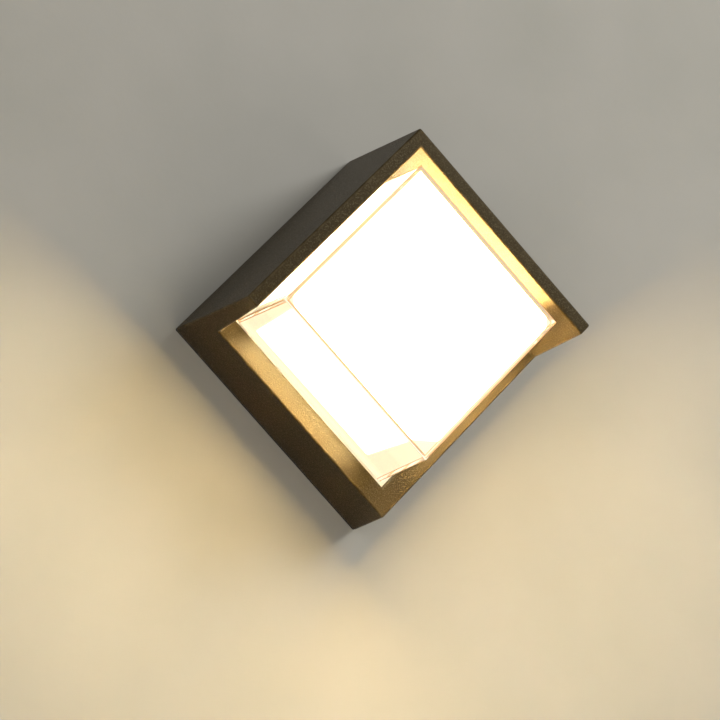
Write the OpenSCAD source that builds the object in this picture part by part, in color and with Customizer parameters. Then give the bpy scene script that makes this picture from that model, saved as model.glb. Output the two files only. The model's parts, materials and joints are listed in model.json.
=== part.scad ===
// Outdoor wall lantern: a square die-cast body turned on its corner, with a two-sided hood over the
// upper sides, a clear box cover with an opal diffuser inside it, and LEDs and a driver behind.
//
// Every sub-part is drawn square-on: X right, Y up, Z out from the wall, with the wall at Z = 0.
// installed() then turns it to the way it hangs: the wall behind it at Y = 0, +Z up, -Y to the front.

/* [Body] */
// Side of the square back, at the wall
back_size = 160; // [159:1:180]
// Depth from the wall to the front of the hood
body_depth = 100; // [96:1:110]
// Depth of the box behind the front deck
base_depth = 42; // [42:1:46]
// Draft of every cast and moulded side, in degrees
draft = 2.1; // [1.5:0.1:2.2]
// Wall of the casting
wall = 3; // [2.5:0.1:3.5]
// Square opening in the deck that the cover comes through
opening = 131.5; // [130:0.5:132]
// Metal left between the opening and the hollow of the hood
hood_skin = 4; // [3.5:0.1:4]

/* [Cover and diffuser] */
// Side of the clear cover at its front face
cover_front = 121.3; // [118:0.1:122]
// Wall of the clear cover
cover_wall = 1.8; // [1.6:0.1:2.2]
// Gap between the cover's inner face and the diffuser
diffuser_gap = 0.3; // [0.3:0.1:1]
// Wall of the diffuser
diffuser_wall = 1.6; // [1.2:0.1:2]
// Side of the flange round the cover's foot
cover_flange = 141; // [140:0.5:141]

/* [Light source] */
// Side of the square circuit board
board_size = 100; // [100:0.5:101]
// LEDs along each side of the board
leds_per_side = 6; // [4:1:6]
// Distance between LEDs
led_pitch = 15; // [14:0.5:15]

/* [Wall plate] */
// Sheet that the plate is pressed from
sheet = 1.5; // [1.2:0.1:1.5]
// Distance between the middles of two facing wall slots
slot_spacing = 72; // [70:1:76]
// Width of a wall slot
slot_width = 5; // [4.5:0.1:6]
// Length of a wall slot, end to end
slot_length = 22; // [14:1:22]
// Bore of the cable grommet
cable_bore = 8.4; // [6:0.1:9]

/* [Hidden] */
$fn = 48;
turn = 45;          // the square hangs with a corner up
slope = tan(draft);
far = 300;          // beyond the whole body
cut = 1;            // how far a cutting shape runs past the surface that it cuts
fit = 0.05;         // clearance of a piece that sits in a bore or on a lip

// Layers from the deck back to the wall, each resting on the next
diffuser_inset = cover_wall + diffuser_gap;
gasket_t = 1.5;
flange_t = 2;
foot_t = 1.5;
tray_t = 2.5;
board_t = 1.6;
deck_z = base_depth - wall;
flange_z = deck_z - gasket_t - flange_t;
foot_z = flange_z - foot_t;
tray_z = foot_z - tray_t;
foam_t = sheet;     // the foam seal is squeezed to the plate's thickness
foam_inset = 0.3;   // between the rim's outer edge and the seal
foam_w = wall + 0.5;
gasket_inset = 0.5; // between the flange's edge and the silicone seal
gasket_gap = 0.4;   // between the cover's side and the silicone seal
diffuser_foot = 132;
tray_gap = 5.2;     // between the tray and the outer side of the back
hood_front = 8;     // solid metal left in front of the hood's hollow

// Screws
m3_shank = 1.45;
m3_clear = 1.7;
m3_thread = 1.55;
m3_head = 2.75;
m3_head_h = 1.9;
m3_low_head = 1.6;
m4_shank = 1.9;
m4_thread = 2.0;
m4_head = 3.8;
m4_head_h = 2.6;
key_r = 1.15;                 // hexagon socket of the clamp screws
tray_screw = 8;               // lengths of the screws
board_screw = 4;
driver_screw = 4.2;
earth_screw_length = 3.4;
clamp_screw = 8;
cross_w = 0.7;                // slots of the cross heads
post = back_size / 2 - 8;     // the corner posts' distance from both middle lines
post_r = 4;
post_bore = 6;
post_bite = 0.5;              // the posts end this far inside the deck's front face
root = 2;                     // bosses and pegs end this far inside the body's outer side
notch = 4;                    // corner cut of the flange and seal, clear of the posts
board_hole = board_size / 2 - 5;

// Circuit board
chip = [3.5, 2.8, 0.7];
socket = [7.5, 8, 4.4];
socket_edge = 0.5;            // between the socket and the board's edge
socket_pitch = 3;

// Clamp between the body and the wall plate
clamp_y = 45;
clamp_z = 9;
clamp_boss_r = 4.5;
clamp_reach = back_size / 2 - 8;    // inner end of the clamp bosses
hook_y = 30;                  // pegs in the opposite side, which hook into the plate's other fold
hook_r = 2;
hook_length = 3.5;
lug_h = 14;                   // height of the plate's folded sides
lug_w = 120;
hook_play = 0.4;              // room round a peg in its slot
plate_left = back_size / 2 - wall - 1.2;
plate_right = clamp_reach - 0.6;
plate_w = 132;
dish_r = 17;                  // the raised middle of the plate, which takes the grommet
dish_rise = 2;
dish_slope = 3;               // width of the dish's sloping side
grommet_r = 9;                // hole in the plate
grommet_lip = 2.3;            // how far its lips reach over the plate
grommet_back = 0.3;           // between its back lip and the wall
grommet_front = 5.2;
grommet_spout = 9;

// Driver
driver_x = 78;
driver_y = 42;
driver_z = 20;                // height of the lid
driver_mid = 42;              // height of the driver's middle line
driver_wall = 1.8;
driver_base_t = 2;
driver_ear = 10;
driver_ear_w = 22;
driver_stud = [30, 13];       // places of the studs that carry its circuit board
driver_stud_r = 2;
driver_stud_h = 2;
driver_board = [70, 34, 1.6];
driver_board_z = tray_z - driver_base_t - driver_stud_h - driver_board.z;
core = [18, 16, 3];            // the transformer's ferrite and its winding
winding = [15, 16, 10.5];
big_can_r = 5;                // capacitors
big_can_h = 13;
small_can_r = 3;
small_can_h = 9;
driver_wires_y = [39, 44];
driver_drop = 12;             // the driver's wires lie this far behind the tray
wire_hole_r = 1.15;

// Terminal block
block = [32, 17, 14];
block_at = [-34, -32];
block_back = tray_z - block.z;
pole_pitch = 10;
pole_z = tray_z - 6;
pole_screw_y = 4.5;           // the two screws of a pole, from its middle
pole_screw_r = 1.25;
pole_screw_length = 3.4;
pole_head_r = 1.9;
pole_head_h = 1.8;
screw_well_r = 2.1;
screw_well = 6;
fixing_well = 4;
insert_r = 2.6;
insert_length = 14;
insert_bore_r = 1.6;

// Wires
wire_r = 0.9;
wire_sides = 8;
bush_at = [54, 0];
bush_r = 3;
bush_lip = 1.2;
bush_bore_r = 2.15;
earth_at = [-62, -4];
earth_turn = -45;             // way that the earth lug's barrel points
barrel_drop = 2;
barrel_r = 1.5;
barrel_length = 5;
lug_r = 4;
lug_t = 1;
lug_arm = [6, 2.8];
connector_rise = 2.9;         // height of the plug's wires over the board

// Routes of the wires. X and Y are as above, and the third number is the height over the tray's back
live_route = [
    [-24, -27, -6], [-24, -22, -6], [-25, -12, -8], [-34, 2, -12], [-46, 14, -14],
    [-56, 26, -14], [-58, 38, -13], [-50, 44, -12], [-36, 44, -12]
];
neutral_route = [
    [-34, -27, -6], [-34, -22, -6], [-35, -12, -7], [-43, -1, -8], [-54, 9, -9],
    [-63, 20, -9], [-62, 32, -10], [-52, 39, -12], [-36, 39, -12]
];
earth_route = [
    [-44, -27, -6], [-44, -22, -6], [-46, -19, -4], [-50, -16, -2], [-54, -12, -2], [-56, -10, -2]
];
positive_route = [
    [36, 44, -12], [50, 44, -12], [60, 38, -12], [65, 26, -12], [64, 12, -11],
    [60, 2, -10], [55, -1, -5], [54, -1, 0], [54, -1, 3], [53, -1, 6], [51, -1.5, 7], [48, -1.5, 7]
];
negative_route = [
    [36, 39, -12], [48, 39, -12], [56, 34, -12], [59, 24, -12], [58, 12, -11],
    [56, 4, -9], [54, 1, -5], [54, 1, 0], [54, 1, 3], [53, 1, 6], [51, 1.5, 7], [48, 1.5, 7]
];

// Half the outer side of the casting at depth z
function body_half(z) = back_size / 2 - z * slope;
// Half the outer side of the clear cover at depth z
function cover_half(z) = cover_front / 2 + (body_depth - z) * slope;

// Turns a square-on part to the way it hangs on the wall
module installed() {
    rotate([0, turn, 0]) rotate([90, 0, 0]) children();
}

// Square with rounded corners, from half its side
module rounded(half, r) rounded_rect(2 * half, 2 * half, r);

module rounded_rect(w, h, r) {
    square([w - 2 * r, h], center = true);
    square([w, h - 2 * r], center = true);
    for (x = [-1, 1], y = [-1, 1]) translate([x * (w / 2 - r), y * (h / 2 - r)]) circle(r = r);
}

// Square block with straight tapered sides, from half side h0 at z0 to h1 at z1
module tapered(h0, h1, z0, z1) {
    long = 2 * max(h0, h1) + 2;
    intersection() {
        translate([0, long / 2, 0]) rotate([90, 0, 0]) linear_extrude(height = long)
            polygon([[-h0, z0], [h0, z0], [h1, z1], [-h1, z1]]);
        translate([long / 2, 0, 0]) rotate([0, -90, 0]) linear_extrude(height = long)
            polygon([[z0, -h0], [z0, h0], [z1, h1], [z1, -h1]]);
    }
}

// Everything to the right of and below a corner that moves outwards with the draft
module corner_region(half, z0, z1) {
    grown = half + (z1 - z0) * slope;
    intersection() {
        translate([0, far, 0]) rotate([90, 0, 0]) linear_extrude(height = 2 * far)
            polygon([[-half, z0], [far, z0], [far, z1], [-grown, z1]]);
        translate([far, 0, 0]) rotate([0, -90, 0]) linear_extrude(height = 2 * far)
            polygon([[z0, -far], [z0, half], [z1, grown], [z1, -far]]);
    }
}

// Square with its corners cut off, for parts that pass the corner posts
module notched(half) {
    h = half;
    c = half - notch;
    polygon([[h, c], [c, h], [-c, h], [-h, c], [-h, -c], [-c, -h], [c, -h], [h, -c]]);
}

module at_corners(distance) {
    for (x = [-1, 1], y = [-1, 1]) translate([x * distance, y * distance, 0]) children();
}

// Cross-head machine screw: the head's underside is at z = 0 and the shank goes up
module pan_screw(shank_r, length, head_r, head_h) {
    slot_reach = 0.55 * head_r;
    slot_depth = 0.55 * head_h;
    difference() {
        union() {
            cylinder(r = shank_r, h = length);
            translate([0, 0, -head_h]) cylinder(r1 = 0.75 * head_r, r2 = head_r, h = head_h / 2);
            translate([0, 0, -head_h / 2]) cylinder(r = head_r, h = head_h / 2);
        }
        for (a = [0, 90])
            rotate([0, 0, a]) translate([-slot_reach, -cross_w / 2, -head_h - cut])
                cube([2 * slot_reach, cross_w, cut + slot_depth]);
    }
}

// Smooth curve through a route's points
function curve_point(p, i, t) =
    let (a = p[max(i - 1, 0)], b = p[i], c = p[i + 1], d = p[min(i + 2, len(p) - 1)])
    (2 * b + (c - a) * t + (2 * a - 5 * b + 4 * c - d) * t * t
        + (3 * b - a - 3 * c + d) * t * t * t) / 2;
function curve(p, steps) = concat(
    [for (i = [0 : len(p) - 2]) for (k = [0 : steps - 1]) curve_point(p, i, k / steps)],
    [p[len(p) - 1]]
);
function unit(v) = v / norm(v);
function heading(p, i) = unit(p[min(i + 1, len(p) - 1)] - p[max(i - 1, 0)]);
// Side directions carried along the curve without twist
function sides(p, i, last) =
    i >= len(p) ? [] :
    let (t = heading(p, i), u = unit(last - t * (last * t)))
    concat([u], sides(p, i + 1, u));

// Round wire along a route
module wire(route) translate([0, 0, tray_z]) {
    n = wire_sides;
    p = curve(route, 3);
    u = sides(p, 0, [0.1, 0.2, 1]);     // any start direction that is not along the wire
    points = [
        for (i = [0 : len(p) - 1]) let (v = cross(heading(p, i), u[i]))
        for (k = [0 : n - 1]) p[i] + wire_r * (cos(360 * k / n) * u[i] + sin(360 * k / n) * v)
    ];
    skin = [
        for (i = [0 : len(p) - 2], k = [0 : n - 1])
        let (a = i * n + k, b = i * n + (k + 1) % n)
        each [[a, a + n, b], [b, a + n, b + n]]
    ];
    ends = [[for (k = [0 : n - 1]) k], [for (k = [n - 1 : -1 : 0]) (len(p) - 1) * n + k]];
    polyhedron(points = points, faces = concat(skin, ends));
}

// Die-cast body: a shallow box with a hood standing on its upper two sides
module housing() installed() color("#2b2620") {
    difference() {
        union() {
            difference() {
                tapered(body_half(foam_t), body_half(body_depth), foam_t, body_depth);
                corner_region(opening / 2, base_depth, body_depth + cut);
                tapered(body_half(0) - wall, body_half(deck_z) - wall, 0, deck_z);
                hood_hollow();
                deck_opening();
            }
            at_corners(post) translate([0, 0, foot_z])
                cylinder(r = post_r, h = base_depth - post_bite - foot_z);
            for (y = [-clamp_y, clamp_y])
                translate([clamp_reach, y, clamp_z]) rotate([0, 90, 0])
                    cylinder(r = clamp_boss_r, h = back_size / 2 - clamp_reach - root);
            for (y = [-hook_y, hook_y])
                translate([-back_size / 2 + root, y, clamp_z])
                    rotate([0, 90, 0]) cylinder(r = hook_r, h = wall - root + hook_length);
        }
        at_corners(post) translate([0, 0, foot_z - cut]) cylinder(r = m3_thread, h = post_bore + cut);
        for (y = [-clamp_y, clamp_y])
            translate([clamp_reach - cut, y, clamp_z]) rotate([0, 90, 0])
                cylinder(r = m4_thread, h = back_size / 2 - clamp_reach + 2 * cut);
    }
}

// Square hole in the deck, widening to the front
module deck_opening() {
    below = opening / 2 - (wall + cut) * slope;
    above = opening / 2 + cut * slope;
    tapered(below, above, deck_z - cut, base_depth + cut);
}

// Hollow cored into the hood from behind
module hood_hollow() {
    top = body_depth - hood_front;
    bottom = deck_z - cut;
    difference() {
        tapered(body_half(bottom) - wall, body_half(top) - wall, bottom, top);
        corner_region(opening / 2 + hood_skin, bottom - cut, top + cut);
    }
}

// Foam strip on the back rim
module wall_gasket() installed() color("#1b1b1b") {
    linear_extrude(height = foam_t) difference() {
        rounded(back_size / 2 - foam_inset, 1);
        rounded(back_size / 2 - foam_inset - foam_w, 1);
    }
}

// Clear acrylic box with a flange round its foot
module clear_cover() installed() color([0.9, 0.95, 1, 0.35]) {
    difference() {
        union() {
            tapered(cover_half(flange_z), cover_half(body_depth), flange_z, body_depth);
            translate([0, 0, flange_z]) linear_extrude(height = flange_t) notched(cover_flange / 2);
        }
        tapered(
            cover_half(flange_z - cut) - cover_wall, cover_half(body_depth - cover_wall) - cover_wall,
            flange_z - cut, body_depth - cover_wall
        );
    }
}

// Opal box inside the clear one
module inner_diffuser() installed() color("#fff6e0") {
    top = body_depth - diffuser_inset;
    inner = diffuser_inset + diffuser_wall;
    difference() {
        union() {
            tapered(cover_half(foot_z) - diffuser_inset, cover_half(top) - diffuser_inset, foot_z, top);
            translate([0, 0, foot_z]) linear_extrude(height = foot_t) rounded(diffuser_foot / 2, 3);
        }
        tapered(
            cover_half(foot_z - cut) - inner, cover_half(top) - inner,
            foot_z - cut, top - diffuser_wall
        );
    }
}

// Milky silicone seal between the cover's flange and the back of the deck
module cover_gasket() installed() color("#d8d4c8") {
    translate([0, 0, flange_z + flange_t]) linear_extrude(height = gasket_t) difference() {
        notched(cover_flange / 2 - gasket_inset);
        rounded(cover_half(flange_z + flange_t) + gasket_gap, 1);
    }
}

// Aluminium plate that clamps the cover and carries the light source and the driver
module led_tray() installed() color("#b9bcc0") {
    difference() {
        translate([0, 0, tray_z]) linear_extrude(height = tray_t) rounded(back_size / 2 - tray_gap, 2);
        translate([0, 0, tray_z - cut]) {
            at_corners(post) cylinder(r = m3_clear, h = tray_t + 2 * cut);
            at_corners(board_hole) cylinder(r = m3_thread, h = tray_t + 2 * cut);
            at_driver_ears() cylinder(r = m3_thread, h = tray_t + 2 * cut);
            at_block_fixings() cylinder(r = m3_thread, h = tray_t + 2 * cut);
            translate(earth_at) cylinder(r = m4_thread, h = tray_t + 2 * cut);
            translate(bush_at) cylinder(r = bush_r, h = tray_t + 2 * cut);
        }
    }
}

module at_driver_ears() {
    for (x = [-1, 1]) translate([x * (driver_x + driver_ear) / 2, driver_mid, 0]) children();
}

module at_block_fixings() {
    for (x = [-1, 1]) translate([block_at.x + x * pole_pitch / 2, block_at.y, 0]) children();
}

module at_poles() {
    for (i = [-1 : 1]) translate([block_at.x + i * pole_pitch, block_at.y, 0]) children();
}

// Screws that hold the tray to the corner posts
module tray_screws() installed() color("#c8c8c8") {
    at_corners(post) translate([0, 0, tray_z]) pan_screw(m3_shank, tray_screw, m3_head, m3_head_h);
}

// Aluminium-core circuit board
module led_board() installed() color("#f4f4f0") {
    difference() {
        translate([0, 0, foot_z]) linear_extrude(height = board_t) rounded(board_size / 2, 1.5);
        at_corners(board_hole)
            translate([0, 0, foot_z - cut]) cylinder(r = m3_clear, h = board_t + 2 * cut);
    }
}

module led_chips() installed() color("#e8c95a") {
    first = -(leds_per_side - 1) / 2 * led_pitch;
    for (i = [0 : leds_per_side - 1], k = [0 : leds_per_side - 1])
        translate([first + i * led_pitch, first + k * led_pitch, foot_z + board_t])
            translate([-chip.x / 2, -chip.y / 2, 0]) cube(chip);
}

module board_screws() installed() color("#c8c8c8") {
    at_corners(board_hole)
        translate([0, 0, foot_z + board_t]) mirror([0, 0, 1])
            pan_screw(m3_shank, board_screw, m3_head, m3_low_head);
}

// Two-pole plug socket at the board's edge
module board_connector() installed() color("#f0ead8") {
    base = foot_z + board_t;
    difference() {
        translate([board_size / 2 - socket_edge - socket.x, -socket.y / 2, base]) cube(socket);
        for (y = [-socket_pitch / 2, socket_pitch / 2])
            translate([board_size / 2 - socket_pitch, y, base + connector_rise])
                rotate([0, 90, 0]) cylinder(r = wire_hole_r, h = 4);
    }
}

// Driver: a base plate with ears, and a moulded lid over the circuit board
module driver_base() installed() color("#e6e6e2") {
    difference() {
        union() {
            translate([0, driver_mid, tray_z - driver_base_t]) linear_extrude(height = driver_base_t)
                square([driver_x + 2 * driver_ear, driver_y], center = true);
            for (x = [-1, 1], y = [-1, 1])
                translate([x * driver_stud.x, driver_mid + y * driver_stud.y, tray_z - driver_base_t])
                    translate([0, 0, -driver_stud_h])
                        cylinder(r = driver_stud_r, h = driver_stud_h + driver_base_t / 4);
        }
        translate([0, 0, tray_z - driver_base_t - cut]) {
            at_driver_ears() cylinder(r = m3_clear, h = driver_base_t + 2 * cut);
            for (x = [-1, 1], y = [-1, 1])
                translate([x * (driver_x / 2 + driver_ear), driver_mid + y * driver_y / 2, 0])
                    linear_extrude(height = driver_base_t + 2 * cut)
                        square([2 * driver_ear - 2, driver_y - driver_ear_w], center = true);
        }
    }
}

module driver_lid() installed() color("#e6e6e2") {
    top = tray_z - driver_base_t;
    difference() {
        translate([0, driver_mid, top - driver_z]) linear_extrude(height = driver_z)
            rounded_rect(driver_x, driver_y, 1.5);
        translate([0, driver_mid, top - driver_z + driver_wall]) linear_extrude(height = driver_z)
            square([driver_x - 2 * driver_wall, driver_y - 2 * driver_wall], center = true);
        for (y = driver_wires_y)
            translate([-driver_x, y, tray_z - driver_drop])
                rotate([0, 90, 0]) cylinder(r = wire_hole_r, h = 2 * driver_x);
    }
}

module driver_pcb() installed() color("#2f6b3a") {
    translate([-driver_board.x / 2, driver_mid - driver_board.y / 2, driver_board_z]) cube(driver_board);
}

module driver_transformer() installed() color("#d8b23c") {
    translate([-core.x / 2, driver_mid - core.y / 4, driver_board_z - core.z]) cube(core);
    translate([-winding.x / 2, driver_mid - core.y / 4, driver_board_z - core.z - winding.z + 0.5])
        cube(winding);
}

module driver_capacitors() installed() color("#22252c") {
    for (x = [-24, 20])
        translate([x, driver_mid + 8, driver_board_z - big_can_h]) cylinder(r = big_can_r, h = big_can_h);
    translate([28, driver_mid - 8, driver_board_z - small_can_h])
        cylinder(r = small_can_r, h = small_can_h);
}

module driver_screws() installed() color("#c8c8c8") {
    at_driver_ears()
        translate([0, 0, tray_z - driver_base_t]) pan_screw(m3_shank, driver_screw, m3_head, m3_head_h);
}

// Three-pole terminal block, its wires along Y and its screws facing the wall
module terminal_block() installed() color("#efefe9") {
    difference() {
        translate([block_at.x - block.x / 2, block_at.y - block.y / 2, block_back]) cube(block);
        at_poles() {
            translate([0, block.y, pole_z]) rotate([90, 0, 0])
                cylinder(r = insert_r + fit, h = 2 * block.y);
            for (y = [-pole_screw_y, pole_screw_y])
                translate([0, y, block_back - cut]) cylinder(r = screw_well_r, h = screw_well + cut);
        }
        at_block_fixings() translate([0, 0, block_back - cut]) {
            cylinder(r = m3_clear, h = block.z + 2 * cut);
            cylinder(r = m3_head + 2 * fit, h = fixing_well + cut);
        }
    }
}

module terminal_inserts() installed() color("#c9a24a") {
    at_poles() difference() {
        translate([0, insert_length / 2, pole_z]) rotate([90, 0, 0])
            cylinder(r = insert_r, h = insert_length);
        translate([0, insert_length / 2 + cut, pole_z]) rotate([90, 0, 0])
            cylinder(r = insert_bore_r, h = insert_length + 2 * cut);
        for (y = [-pole_screw_y, pole_screw_y])
            translate([0, y, pole_z - 5]) cylinder(r = pole_screw_r + 2 * fit, h = 5);
    }
}

module terminal_screws() installed() color("#c9c9c9") {
    at_poles() for (y = [-pole_screw_y, pole_screw_y])
        translate([0, y, pole_z - 4.6]) difference() {
            union() {
                cylinder(r = pole_head_r, h = pole_head_h);
                cylinder(r = pole_screw_r, h = pole_screw_length);
            }
            translate([-pole_head_r - cut, -0.3, -cut]) cube([2 * pole_head_r + 2 * cut, 0.6, cut + 0.7]);
        }
}

module terminal_fixing_screws() installed() color("#c8c8c8") {
    at_block_fixings() translate([0, 0, block_back + fixing_well])
        pan_screw(m3_shank, block.z - 2, m3_head, m3_head_h);
}

// Ring lug crimped to the earth wire, under its own screw
module earth_lug() installed() color("#c9c2a8") {
    translate([earth_at.x, earth_at.y, tray_z - lug_t]) difference() {
        union() {
            cylinder(r = lug_r, h = lug_t);
            rotate([0, 0, earth_turn]) {
                translate([2, -lug_arm.y / 2, 0]) cube([lug_arm.x, lug_arm.y, lug_t]);
                translate([lug_arm.x, 0, lug_t - barrel_drop])
                    rotate([0, 90, 0]) cylinder(r = barrel_r, h = barrel_length);
            }
        }
        translate([0, 0, -cut]) cylinder(r = 2.15, h = lug_t + 2 * cut);
        rotate([0, 0, earth_turn]) translate([lug_arm.x - cut, 0, lug_t - barrel_drop])
            rotate([0, 90, 0]) cylinder(r = wire_r + 0.1, h = barrel_length + 2 * cut);
    }
}

module earth_screw() installed() color("#4f8a3d") {
    translate([earth_at.x, earth_at.y, tray_z - lug_t])
        pan_screw(m4_shank, earth_screw_length, m4_head, m4_head_h);
}

// Rubber bush where the LED wires pass the tray
module wire_bush() installed() color("#1b1b1b") {
    translate([bush_at.x, bush_at.y, 0]) difference() {
        union() {
            translate([0, 0, tray_z - bush_lip]) cylinder(r = bush_r + bush_lip, h = bush_lip);
            translate([0, 0, tray_z - bush_lip])
                cylinder(r = bush_r - fit, h = tray_t + 2 * bush_lip - 0.5);
        }
        translate([0, 0, tray_z - bush_lip - cut])
            cylinder(r = bush_bore_r, h = tray_t + 2 * bush_lip + 2 * cut);
    }
}

module wire_live() installed() color("#6b3f22") wire(live_route);
module wire_neutral() installed() color("#2f62b5") wire(neutral_route);
module wire_earth() installed() color("#8ab52f") wire(earth_route);
module wire_led_positive() installed() color("#b52525") wire(positive_route);
module wire_led_negative() installed() color("#161616") wire(negative_route);

// Socket set screws in the lower right side, which grip the plate's folded side
module clamp_screws() installed() color("#9a9a9a") {
    for (y = [-clamp_y, clamp_y])
        translate([plate_right + 0.1, y, clamp_z]) rotate([0, 90, 0]) difference() {
            cylinder(r = m4_shank, h = clamp_screw);
            translate([0, 0, clamp_screw - 2.5]) cylinder(r = key_r, h = 2.5 + cut, $fn = 6);
        }
}

// Pressed steel plate that stays on the wall, with two folded sides
module wall_plate() installed() color("#b4b7ba") {
    difference() {
        union() {
            translate([0, plate_w / 2, 0]) rotate([90, 0, 0])
                linear_extrude(height = plate_w) plate_section();
            grommet_dish();
        }
        translate([0, 0, -cut]) cylinder(r = grommet_r, h = lug_h);
        difference() {
            translate([0, 0, -cut]) cylinder(r = dish_r, h = dish_rise + sheet + cut);
            grommet_dish();
        }
        for (a = [0 : 90 : 270])
            rotate([0, 0, turn + a]) translate([slot_spacing / 2, 0, -cut]) wall_slot();
        for (x = [-1, 1], y = [-1, 1])
            translate([x * back_size / 2, y * plate_w / 2, 0])
                cube([28, plate_w - lug_w, 3 * lug_h], center = true);
        for (y = [-hook_y, hook_y])
            translate([-plate_left - cut, y - hook_r - 1, clamp_z - hook_r - hook_play])
                cube([sheet + 2 * cut, 2 * hook_r + 2, 2 * hook_r + 2 * hook_play]);
    }
}

// Section of the plate: flat, with a rounded fold up at each side
module plate_section() {
    fold = 2 * sheet;
    translate([-plate_left + fold, 0]) square([plate_left + plate_right - 2 * fold, sheet]);
    for (side = [[-plate_left, 0], [plate_right, 1]])
        translate([side.x, 0]) mirror([side.y, 0]) {
            translate([0, fold]) square([sheet, lug_h - fold]);
            intersection() {
                square(fold);
                translate([fold, fold]) difference() {
                    circle(r = fold);
                    circle(r = fold - sheet);
                }
            }
        }
}

// Raised middle of the plate, so that the grommet's back lip clears the wall
module grommet_dish() {
    inner = grommet_r - cut;
    foot = dish_r - 1;
    top = foot - dish_slope;
    rotate_extrude() polygon([
        [inner, dish_rise], [top, dish_rise], [foot, 0], [dish_r + 1, 0],
        [dish_r + 1, sheet], [foot, sheet], [top, dish_rise + sheet], [inner, dish_rise + sheet]
    ]);
}

module wall_slot() {
    reach = (slot_length - slot_width) / 2;
    for (x = [-reach, reach]) translate([x, 0, 0]) cylinder(d = slot_width, h = sheet + 2 * cut);
    translate([-reach, -slot_width / 2, 0]) cube([2 * reach, slot_width, sheet + 2 * cut]);
}

// Rubber grommet for the supply cable
module cable_grommet() installed() color("#1b1b1b") {
    r = cable_bore / 2;
    lip = grommet_r + grommet_lip;
    groove = grommet_r - 2 * fit;
    back = dish_rise - fit;
    front = dish_rise + sheet + fit;
    rotate_extrude() polygon([
        [r, grommet_back], [lip, grommet_back], [lip, back], [groove, back], [groove, front],
        [lip, front], [lip, grommet_front - 0.6], [lip - 0.8, grommet_front],
        [7, grommet_front], [6, grommet_spout], [r, grommet_spout]
    ]);
}

housing();
wall_gasket();
clear_cover();
inner_diffuser();
cover_gasket();
led_tray();
tray_screws();
led_board();
led_chips();
board_screws();
board_connector();
driver_base();
driver_lid();
driver_pcb();
driver_transformer();
driver_capacitors();
driver_screws();
terminal_block();
terminal_inserts();
terminal_screws();
terminal_fixing_screws();
earth_lug();
earth_screw();
wire_bush();
wire_live();
wire_neutral();
wire_earth();
wire_led_positive();
wire_led_negative();
clamp_screws();
wall_plate();
cable_grommet();
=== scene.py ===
import json
from math import cos, hypot, radians, sin, sqrt

import bmesh
import bpy
from mathutils import Matrix, Vector


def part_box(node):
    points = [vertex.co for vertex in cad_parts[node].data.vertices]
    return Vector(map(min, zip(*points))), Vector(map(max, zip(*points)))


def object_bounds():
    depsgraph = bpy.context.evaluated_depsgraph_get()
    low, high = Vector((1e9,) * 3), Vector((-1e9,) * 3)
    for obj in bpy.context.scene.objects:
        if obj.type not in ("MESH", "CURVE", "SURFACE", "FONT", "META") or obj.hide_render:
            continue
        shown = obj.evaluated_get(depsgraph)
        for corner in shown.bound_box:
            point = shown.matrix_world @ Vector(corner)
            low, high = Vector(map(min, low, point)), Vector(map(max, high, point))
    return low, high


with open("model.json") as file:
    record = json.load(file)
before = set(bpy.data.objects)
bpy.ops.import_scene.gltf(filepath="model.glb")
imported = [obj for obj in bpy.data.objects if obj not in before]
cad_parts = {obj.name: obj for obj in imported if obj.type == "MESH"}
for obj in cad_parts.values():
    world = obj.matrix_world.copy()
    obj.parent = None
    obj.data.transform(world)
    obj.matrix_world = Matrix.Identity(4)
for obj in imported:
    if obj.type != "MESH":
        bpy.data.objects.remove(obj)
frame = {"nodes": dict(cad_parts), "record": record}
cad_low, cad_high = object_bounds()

MM = 0.001
SIDE = (cad_high.x - cad_low.x) / sqrt(2)      # side of the square back, which hangs with one corner up
DEPTH = cad_high.y - cad_low.y
COVER_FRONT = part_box("clear_cover")[0].y
COVER_HALF = 59.0 * MM                         # half the side of the clear cover, just inside its faces
DECK = -0.42 * DEPTH                           # front face of the base, where the light box comes out
DIFFUSER_HALF = 58.6 * MM                      # half the side of the diffuser, near its front
ROOM = 106 * MM                                # the rooms inside the housing end short of this radius
TINY = 0.002 * MM                              # points nearer to each other than this are one corner
SHARP = radians(25)                            # an edge is rounded if it turns by more than this
LONG = 6 * MM                                  # and is longer than this
WARM = (1.0, 0.71, 0.30)                       # light of about 3000 K
GLOW = 132.0                                   # radiance of the diffuser where it is fully lit
nodes = frame["nodes"]


# ---------------------------------------------------------------- node helpers

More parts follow.
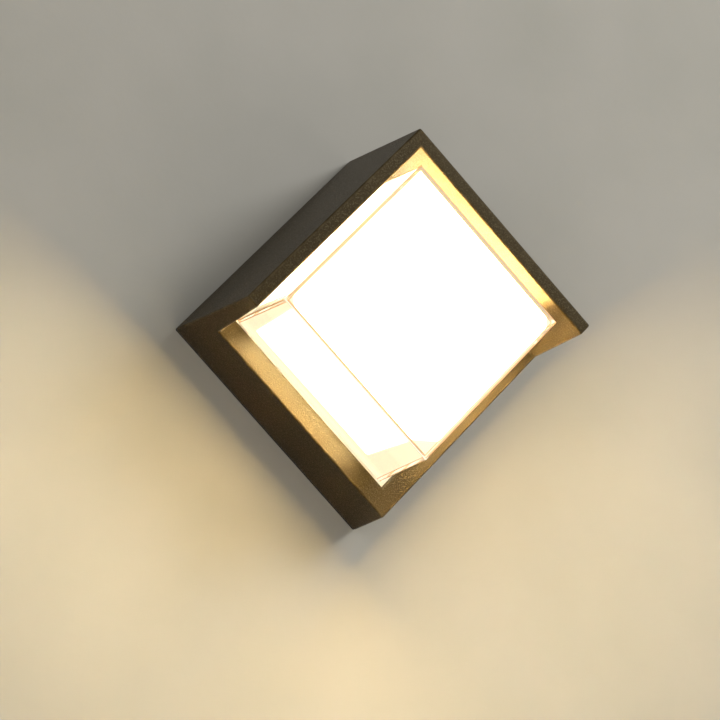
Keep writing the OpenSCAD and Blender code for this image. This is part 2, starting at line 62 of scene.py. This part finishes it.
class Shader:
    """A material with one Principled shader, and short ways to add nodes to it."""

    def __init__(self, name, colour=(0.8, 0.8, 0.8), roughness=0.5, metallic=0.0, **sockets):
        self.material = bpy.data.materials.new(name)
        self.material.use_nodes = True
        self.tree = self.material.node_tree
        self.tree.nodes.clear()
        self.surface = self.add("ShaderNodeBsdfPrincipled")
        output = self.add("ShaderNodeOutputMaterial")
        self.link(self.surface.outputs["BSDF"], output.inputs["Surface"])
        self.place = self.add("ShaderNodeTexCoord").outputs["Object"]
        self.surface.inputs["Base Color"].default_value = (*colour, 1)
        self.surface.inputs["Roughness"].default_value = roughness
        self.surface.inputs["Metallic"].default_value = metallic
        for socket, value in sockets.items():
            self.surface.inputs[socket.replace("_", " ")].default_value = value
        self.relief = None

    def add(self, kind, **settings):
        made = self.tree.nodes.new(kind)
        for key, value in settings.items():
            setattr(made, key, value)
        return made

    def link(self, start, end):
        self.tree.links.new(start, end)

    def feed(self, socket, value):
        """Links a node's output to a socket, or sets the socket to a number."""
        if isinstance(value, bpy.types.NodeSocket):
            self.link(value, socket)
        else:
            socket.default_value = value

    def math(self, operation, a, b=0.0):
        made = self.add("ShaderNodeMath", operation=operation)
        self.feed(made.inputs[0], a)
        self.feed(made.inputs[1], b)
        return made.outputs[0]

    def noise(self, size, detail=2.0, stretch=(1, 1, 1), seed=0.0):
        """Noise with features of about size metres, from 0 to 1."""
        moved = self.add("ShaderNodeMapping")
        moved.inputs["Scale"].default_value = stretch
        moved.inputs["Location"].default_value = (seed, seed * 0.7, seed * 1.3)
        self.link(self.place, moved.inputs["Vector"])
        made = self.add("ShaderNodeTexNoise")
        made.inputs["Scale"].default_value = 1 / size
        made.inputs["Detail"].default_value = detail
        self.link(moved.outputs["Vector"], made.inputs["Vector"])
        return made.outputs["Fac"]

    def cells(self, size):
        """Distance to the nearest of scattered points, about size metres apart."""
        made = self.add("ShaderNodeTexVoronoi", feature="F1")
        made.inputs["Scale"].default_value = 1 / size
        self.link(self.place, made.inputs["Vector"])
        return made.outputs["Distance"]

    def spread(self, value, low, high, start=0.3, end=0.7):
        """Maps start..end of value to low..high."""
        made = self.add("ShaderNodeMapRange")
        made.inputs["From Min"].default_value = start
        made.inputs["From Max"].default_value = end
        made.inputs["To Min"].default_value = low
        made.inputs["To Max"].default_value = high
        self.link(value, made.inputs["Value"])
        return made.outputs["Result"]

    def blend(self, factor, dark, light):
        """Mixes two colours, from dark where factor is 0 to light where it is 1."""
        made = self.add("ShaderNodeMix", data_type="RGBA")
        self.feed(made.inputs["Factor"], factor)
        for socket, value in ((made.inputs[6], dark), (made.inputs[7], light)):
            self.feed(socket, value if isinstance(value, bpy.types.NodeSocket) else (*value, 1))
        return made.outputs[2]

    def colour(self, value):
        self.link(value, self.surface.inputs["Base Color"])

    def rough(self, value):
        self.link(value, self.surface.inputs["Roughness"])

    def bump(self, height, distance, strength=1.0):
        """Adds a relief of the given height in metres on top of what is there."""
        made = self.add("ShaderNodeBump")
        made.inputs["Distance"].default_value = distance
        made.inputs["Strength"].default_value = strength
        self.link(height, made.inputs["Height"])
        if self.relief:
            self.link(self.relief, made.inputs["Normal"])
        self.relief = made.outputs["Normal"]
        self.link(self.relief, self.surface.inputs["Normal"])


# ---------------------------------------------------------------- materials of the object

def powder_coat(edge_wear_and_highlight=False):
    """Dark bronze-brown powder coat with a fine sand texture, or the same with lighter patches on its rounded
    edges, partly wear and partly a painted highlight.
    """
    name = "powder_coat_edge" if edge_wear_and_highlight else "powder_coat"
    m = Shader(name, roughness=0.5, Specular_IOR_Level=0.26, Specular_Tint=(1.0, 0.82, 0.48, 1))
    grain = m.noise(0.75 * MM, 2.5)
    pits = m.cells(1.5 * MM)
    cloud = m.noise(35 * MM, 3, seed=4)
    base = m.blend(m.spread(cloud, 0, 1), (0.023, 0.0142, 0.0048), (0.033, 0.0208, 0.0070))
    base = m.blend(m.spread(grain, 0, 0.75, 0.5, 0.75), base, (0.105, 0.084, 0.042))
    if edge_wear_and_highlight:
        # painted highlight mixed with edge wear: lighter patches of coat on the housing's rounded edges
        rubbing_and_highlight = m.spread(m.noise(7 * MM, 4, seed=9), 0.1, 0.8, 0.45, 0.70)
        base = m.blend(rubbing_and_highlight, base, (0.095, 0.070, 0.036))
    m.colour(base)
    m.rough(m.spread(grain, 0.53, 0.37))
    m.bump(grain, 0.16 * MM, 0.9)
    m.bump(pits, 0.10 * MM, 0.5)
    return m.material


def clear_acrylic():
    """Polished clear acrylic, a little cloudy with handling."""
    m = Shader("clear_acrylic", (1.0, 0.985, 0.955), Transmission_Weight=1.0, IOR=1.49)
    m.rough(m.spread(m.noise(22 * MM, 3), 0.0, 0.05, 0.4, 0.8))
    m.bump(m.noise(60 * MM, 1), 0.15 * MM, 0.15)
    # painted glow: a faint warm emission stands in for diffuser light scattered inside the acrylic
    m.surface.inputs["Emission Color"].default_value = (1.0, 0.74, 0.44, 1)
    m.surface.inputs["Emission Strength"].default_value = 0.12
    return m.material


def acrylic_edge():
    """Moulded edges of the clear cover, with painted light. They glow as thin amber lines, and as a cream one
    along the lower left edge of the front, where both faces beside it are lit."""
    m = Shader("acrylic_edge", (0.30, 0.17, 0.08), roughness=0.35, Specular_IOR_Level=0.3)
    split = m.add("ShaderNodeSeparateXYZ")
    m.link(m.place, split.inputs[0])
    x, y, z = split.outputs
    low_left = m.spread(m.math("ADD", x, z), 1, 0, -COVER_HALF * sqrt(2), -(COVER_HALF - 1.5 * MM) * sqrt(2))
    in_front = m.spread(y, 1, 0, COVER_FRONT + 1.0 * MM, COVER_FRONT + 1.6 * MM)
    cream = m.math("MULTIPLY", low_left, in_front)
    line = m.blend(m.spread(m.noise(6 * MM, 2), 0, 1), (0.36, 0.19, 0.085), (0.50, 0.28, 0.13))
    # painted light: the edges glow amber, and cream along the lower left front edge
    m.link(m.blend(cream, line, (1.0, 0.93, 0.76)), m.surface.inputs["Emission Color"])
    m.surface.inputs["Emission Strength"].default_value = 1.0
    return m.material


def opal_acrylic():
    """Opal box lit from inside, weaker near its foot and along its corners, far from the LEDs. Where it is
    weak its base colour is painted darker, a painted shade, so that light thrown back on it doesn't drown the
    fading."""
    rise = 70 * MM                # the corners get brighter from this far below the axis to this far above
    m = Shader("opal_acrylic", roughness=0.55)
    split = m.add("ShaderNodeSeparateXYZ")
    m.link(m.place, split.inputs[0])
    x, y, z = split.outputs
    across = m.math("ABSOLUTE", m.math("SUBTRACT", x, z))
    along = m.math("ABSOLUTE", m.math("ADD", x, z))
    from_axis = m.math("MULTIPLY", m.math("ADD", across, along), 1 / sqrt(2))
    to_corner = m.math("SUBTRACT", 2 * DIFFUSER_HALF, from_axis)
    to_corner = m.math("ADD", to_corner, m.spread(z, -7 * MM, 8 * MM, -rise, rise))
    from_foot = m.math("SUBTRACT", DECK, y)
    foot_band = m.spread(z, 9 * MM, 5 * MM, -rise, 0.0)
    near = m.math("SMOOTH_MIN", m.math("DIVIDE", to_corner, 9 * MM), m.math("DIVIDE", from_foot, foot_band))
    near.node.inputs[2].default_value = 0.3        # how smoothly the two bands meet
    lit = m.math("POWER", m.spread(near, 0, 1, 0.42, 0.95), 3.0)
    cloud = m.spread(m.noise(25 * MM, 2), 0.94, 1.0)
    deep = m.spread(from_foot, 1.0, 0.8, 10 * MM, 57 * MM)
    dim = tuple(c / GLOW for c in (1.0, 0.88, 0.62))
    tone = m.blend(m.spread(from_foot, 0, 1, 8 * MM, 30 * MM), (1.0, 0.93, 0.70), WARM)
    glow = m.blend(m.math("MULTIPLY", m.math("MULTIPLY", lit, cloud), deep), dim, tone)
    m.link(glow, m.surface.inputs["Emission Color"])
    # painted shade: the base colour darkens where the glow is weak, at the foot and along the corners
    m.colour(m.blend(lit, (0.10, 0.085, 0.05), (0.93, 0.91, 0.86)))
    m.surface.inputs["Emission Strength"].default_value = GLOW
    m.material.cycles.emission_sampling = "FRONT"
    m.bump(m.noise(0.8 * MM, 2), 0.03 * MM, 0.3)
    return m.material


def plastic(name, colour, roughness=0.45, grain=0.5, relief=0.03):
    """Moulded plastic with a fine spark-eroded grain and faint colour variation."""
    m = Shader(name, roughness=roughness)
    fine = m.noise(grain * MM, 2)
    cloud = m.noise(18 * MM, 3, seed=2)
    m.colour(m.blend(m.spread(cloud, 0, 1), tuple(0.86 * c for c in colour), colour))
    m.rough(m.spread(fine, roughness - 0.08, roughness + 0.1))
    m.bump(fine, relief * MM, 0.5)
    return m.material


def metal(name, colour, roughness=0.35, grain=(1, 1, 1), size=0.6):
    """Bare or plated metal, its grain drawn out along the axis with the smallest stretch, and scratched."""
    m = Shader(name, roughness=roughness, metallic=1.0)
    fine = m.noise(size * MM, 3, stretch=grain)
    cloud = m.noise(14 * MM, 3, seed=7)
    m.colour(m.blend(m.spread(cloud, 0, 1), tuple(0.78 * c for c in colour), colour))
    m.rough(m.spread(fine, roughness - 0.1, roughness + 0.14))
    m.bump(fine, 0.02 * MM, 0.6)
    m.bump(m.noise(3 * MM, 4, stretch=(0.15, 1, 2.5), seed=11), 0.02 * MM, 0.25)
    return m.material


def galvanised():
    """Zinc-coated sheet, with its pale and dark crystals."""
    m = Shader("galvanised_steel", metallic=1.0)
    flakes = m.add("ShaderNodeTexVoronoi", feature="F1")
    flakes.inputs["Scale"].default_value = 1 / (4.5 * MM)
    m.link(m.place, flakes.inputs["Vector"])
    shade = m.add("ShaderNodeSeparateColor")
    m.link(flakes.outputs["Color"], shade.inputs[0])
    m.colour(m.blend(shade.outputs[0], (0.46, 0.48, 0.50), (0.60, 0.62, 0.64)))
    m.rough(m.spread(shade.outputs[1], 0.34, 0.52, 0, 1))
    m.bump(m.noise(0.9 * MM, 3), 0.02 * MM, 0.5)
    return m.material


def rubber():
    """Black rubber, dusty in places."""
    m = Shader("rubber", roughness=0.7)
    dust = m.noise(12 * MM, 4, seed=5)
    m.colour(m.blend(m.spread(dust, 0, 1, 0.45, 0.8), (0.016, 0.016, 0.016), (0.05, 0.048, 0.045)))
    fine = m.noise(0.7 * MM, 2)
    m.rough(m.spread(fine, 0.6, 0.82))
    m.bump(fine, 0.05 * MM, 0.7)
    return m.material


def foam():
    """Closed-cell foam, with its cut cells."""
    m = Shader("foam", roughness=0.9)
    pores = m.cells(0.8 * MM)
    m.colour(m.blend(m.spread(pores, 0, 1, 0.0, 0.6), (0.010, 0.010, 0.010), (0.045, 0.045, 0.045)))
    m.bump(pores, 0.25 * MM, 0.8)
    return m.material


def striped_wire():
    """Earth wire: green with a yellow stripe that winds round it."""
    m = Shader("green_wire", roughness=0.4)
    turns = m.add("ShaderNodeTexWave", bands_direction="DIAGONAL")
    turns.inputs["Scale"].default_value = 110
    m.link(m.place, turns.inputs["Vector"])
    stripe = m.spread(turns.outputs["Fac"], 0, 1, 0.45, 0.55)
    m.colour(m.blend(stripe, (0.03, 0.20, 0.03), (0.62, 0.50, 0.02)))
    m.bump(m.noise(0.5 * MM), 0.02 * MM, 0.4)
    return m.material


def lit_phosphor():
    """LED phosphor, glowing."""
    m = Shader("led_phosphor", (0.9, 0.62, 0.12), roughness=0.3)
    glow = m.blend(m.spread(m.noise(1.2 * MM), 0, 1), (0.9, 0.62, 0.28), WARM)
    m.link(glow, m.surface.inputs["Emission Color"])
    m.surface.inputs["Emission Strength"].default_value = 1.5
    return m.material


MATERIALS = {
    "powder_coat": powder_coat,
    "clear_acrylic": clear_acrylic,
    "opal_acrylic": opal_acrylic,
    "foam": foam,
    "silicone": lambda: plastic("silicone", (0.74, 0.72, 0.66), 0.5, 0.5, 0.03),
    "rubber": rubber,
    "aluminium": lambda: metal("aluminium", (0.72, 0.73, 0.75), 0.36, (1, 1, 0.08)),
    "zinc_screw": lambda: metal("zinc_screw", (0.66, 0.66, 0.62), 0.3, (1, 0.3, 1), 0.3),
    "stainless": lambda: metal("stainless", (0.52, 0.52, 0.51), 0.28, (1, 0.3, 1), 0.3),
    "brass": lambda: metal("brass", (0.72, 0.50, 0.20), 0.3, (0.3, 1, 1), 0.3),
    "tinned_brass": lambda: metal("tinned_brass", (0.70, 0.67, 0.58), 0.33, (1, 1, 0.3), 0.3),
    "green_screw": lambda: metal("green_screw", (0.06, 0.26, 0.08), 0.35, (1, 0.3, 1), 0.3),
    "galvanised_steel": galvanised,
    "white_board": lambda: plastic("white_board", (0.82, 0.82, 0.78), 0.4, 1.2, 0.02),
    "led_phosphor": lit_phosphor,
    "cream_plastic": lambda: plastic("cream_plastic", (0.78, 0.71, 0.55)),
    "white_plastic": lambda: plastic("white_plastic", (0.78, 0.78, 0.75)),
    "green_board": lambda: plastic("green_board", (0.02, 0.17, 0.06), 0.3, 1.5, 0.02),
    "transformer_tape": lambda: plastic("transformer_tape", (0.72, 0.48, 0.05), 0.3, 2.0, 0.02),
    "capacitor_sleeve": lambda: plastic("capacitor_sleeve", (0.02, 0.02, 0.03), 0.3, 1.0, 0.02),
    "brown_wire": lambda: plastic("brown_wire", (0.14, 0.055, 0.022), 0.4, 0.4, 0.02),
    "blue_wire": lambda: plastic("blue_wire", (0.02, 0.09, 0.42), 0.4, 0.4, 0.02),
    "green_wire": striped_wire,
    "red_wire": lambda: plastic("red_wire", (0.50, 0.02, 0.015), 0.4, 0.4, 0.02),
    "black_wire": lambda: plastic("black_wire", (0.018, 0.018, 0.018), 0.4, 0.4, 0.02),
}


def finish_nodes():
    """Gives every node the material that its slot names."""
    made = {}
    for row in frame["record"]["subparts"]:
        name = row["material_slot"]
        if name not in made:
            made[name] = MATERIALS[name]()
        for slot in nodes[row["node"]].material_slots:
            slot.material = made[name]


# ---------------------------------------------------------------- edges

def on_outside(corner):
    """True for the corners that show from outside, and not for those in the housing's rooms."""
    return hypot(corner.x, corner.z) > ROOM or corner.y < DECK + 1 * MM


def on_front(corner):
    """True for the diffuser's front corners, inside the cover's front."""
    return corner.y < COVER_FRONT + 5 * MM


def place_of(corner):
    """A corner's place to the nearest micrometre, by which the same corner is found in another mesh."""
    return tuple(round(c, 6) for c in corner.co)


def long_sharp_corners(mesh, wanted):
    """Places of the wanted corners at the ends of long sharp edges, on a welded copy."""
    copy = bmesh.new()
    copy.from_mesh(mesh)
    bmesh.ops.remove_doubles(copy, verts=copy.verts, dist=TINY)
    found = set()
    for edge in copy.edges:
        if len(edge.link_faces) == 2 and edge.calc_length() > LONG and edge.calc_face_angle() > SHARP:
            found.update(place_of(corner) for corner in edge.verts if wanted(corner.co))
    copy.free()
    return found


def round_edges(name, width, wanted=lambda corner: True, edge_material=None):
    """Rounds a node's long edges between wanted corners, and leaves its holes as they are."""
    obj = nodes[name]
    places = long_sharp_corners(obj.data, wanted)
    picked = [corner.index for corner in obj.data.vertices if place_of(corner) in places]
    group = obj.vertex_groups.new(name="rounded")
    group.add(picked, 1.0, "ADD")
    weld = obj.modifiers.new("weld", "WELD")
    weld.merge_threshold = TINY
    flat = obj.modifiers.new("flat", "DECIMATE")
    flat.decimate_type = "DISSOLVE"
    flat.angle_limit = radians(0.3)
    bevel = obj.modifiers.new("bevel", "BEVEL")
    bevel.limit_method = "VGROUP"
    bevel.vertex_group = group.name
    bevel.width = width
    bevel.segments = 3
    bevel.use_clamp_overlap = False
    if edge_material:
        obj.data.materials.append(edge_material)
        bevel.material = len(obj.data.materials) - 1
    even = obj.modifiers.new("even", "WEIGHTED_NORMAL")
    even.keep_sharp = False
    even.weight = 90


# ---------------------------------------------------------------- stage, camera and light

def stage_material(name, dark, light, see_through):
    """Plain painted surface, slightly cloudy. Its back can be clear, so that it hides nothing behind it."""
    m = Shader(name, roughness=0.85)
    cloud = m.noise(0.09, 5, seed=3)
    m.colour(m.blend(m.spread(cloud, 0, 1), dark, light))
    m.bump(m.noise(0.004, 3), 0.2 * MM, 0.25)
    if see_through:
        output = m.tree.nodes["Material Output"]
        side = m.add("ShaderNodeNewGeometry").outputs["Backfacing"]
        mix = m.add("ShaderNodeMixShader")
        m.link(side, mix.inputs[0])
        m.link(m.surface.outputs[0], mix.inputs[1])
        m.link(m.add("ShaderNodeBsdfTransparent").outputs[0], mix.inputs[2])
        m.link(mix.outputs[0], output.inputs["Surface"])
    return m.material


def panel(name, points, faces, material):
    """Adds a flat piece of the stage."""
    mesh = bpy.data.meshes.new(name)
    mesh.from_pydata(points, [], faces)
    mesh.materials.append(material)
    obj = bpy.data.objects.new(name, mesh)
    bpy.context.scene.collection.objects.link(obj)


def make_stage():
    """Wall and floor. The wall has a hole behind the lamp, inside its rim, so that light gets to its back."""
    wall_y, floor_z, reach = 0.3 * MM, -0.62, 3.0      # the lamp's back is at y = 0
    hole = SIDE / sqrt(2) - 3 * MM                     # half the diagonal of the hole
    wall_points = [(-reach, wall_y, floor_z), (reach, wall_y, floor_z), (reach, wall_y, reach),
                   (-reach, wall_y, reach), (-hole, wall_y, 0), (0, wall_y, -hole), (hole, wall_y, 0),
                   (0, wall_y, hole)]
    wall_faces = [(0, 1, 5), (1, 2, 6), (2, 3, 7), (3, 0, 4), (0, 5, 4), (1, 6, 5), (2, 7, 6), (3, 4, 7)]
    wall_paint = stage_material("wall_paint", (0.44, 0.43, 0.385), (0.48, 0.465, 0.42), True)
    panel("wall", wall_points, wall_faces, wall_paint)
    floor_paint = stage_material("floor_paint", (0.62, 0.61, 0.59), (0.66, 0.65, 0.63), False)
    panel("floor", [(-reach, -reach, floor_z), (reach, -reach, floor_z), (reach, reach, floor_z),
                    (-reach, reach, floor_z)], [(0, 1, 2, 3)], floor_paint)


def make_camera():
    """Long lens, from the left of the lamp and a little below it, tilted by half a degree."""
    azimuth, below, roll = radians(24.65), radians(11.14), -0.011      # roll is in radians
    away, aim_right, aim_up = 10.66, 0.0331, -0.0613                   # in sides of the square back
    toward = Vector((-sin(azimuth) * cos(below), -cos(azimuth) * cos(below), -sin(below)))
    right = (-toward).cross(Vector((0, 0, 1))).normalized()
    up = right.cross(-toward)
    across = cos(roll) * right + sin(roll) * up
    upward = -sin(roll) * right + cos(roll) * up
    data = bpy.data.cameras.new("camera")
    data.lens, data.sensor_width = 142.2, 36
    data.clip_start, data.clip_end = 0.05, 30
    camera = bpy.data.objects.new("camera", data)
    place = SIDE * (away * toward + aim_right * across + aim_up * upward)
    turn = Matrix((across, upward, toward)).transposed().to_4x4()
    camera.matrix_world = Matrix.Translation(place) @ turn
    bpy.context.scene.collection.objects.link(camera)
    bpy.context.scene.camera = camera


def soft_box(name, place, size, power):
    """Adds a square light that faces the lamp."""
    data = bpy.data.lights.new(name, "AREA")
    data.shape, data.size, data.energy = "SQUARE", size, power
    light = bpy.data.objects.new(name, data)
    light.location = place
    light.rotation_mode = "QUATERNION"
    light.rotation_quaternion = (-Vector(place)).to_track_quat("-Z", "Y")
    bpy.context.scene.collection.objects.link(light)


def make_light():
    bpy.context.scene.view_settings.view_transform = "Standard"
    world = bpy.data.worlds.new("studio")
    world.use_nodes = True
    background = world.node_tree.nodes["Background"]
    background.inputs["Color"].default_value = (0.60, 0.575, 0.51, 1)
    background.inputs["Strength"].default_value = 0.29
    bpy.context.scene.world = world
    soft_box("key", (1.3, -1.5, 1.0), 0.8, 27)
    soft_box("fill", (-1.6, -1.2, 0.6), 1.2, 8)
    soft_box("rear", (1.0, 1.8, 0.9), 1.2, 34)


# ---------------------------------------------------------------- the scene

make_camera()
make_light()
make_stage()
finish_nodes()
round_edges("housing", 1.2 * MM, on_outside, powder_coat(edge_wear_and_highlight=True))
round_edges("clear_cover", 0.55 * MM, edge_material=acrylic_edge())
round_edges("inner_diffuser", 0.8 * MM, on_front)
nodes["clear_cover"].visible_shadow = False     # or it would hold back the diffuser's light
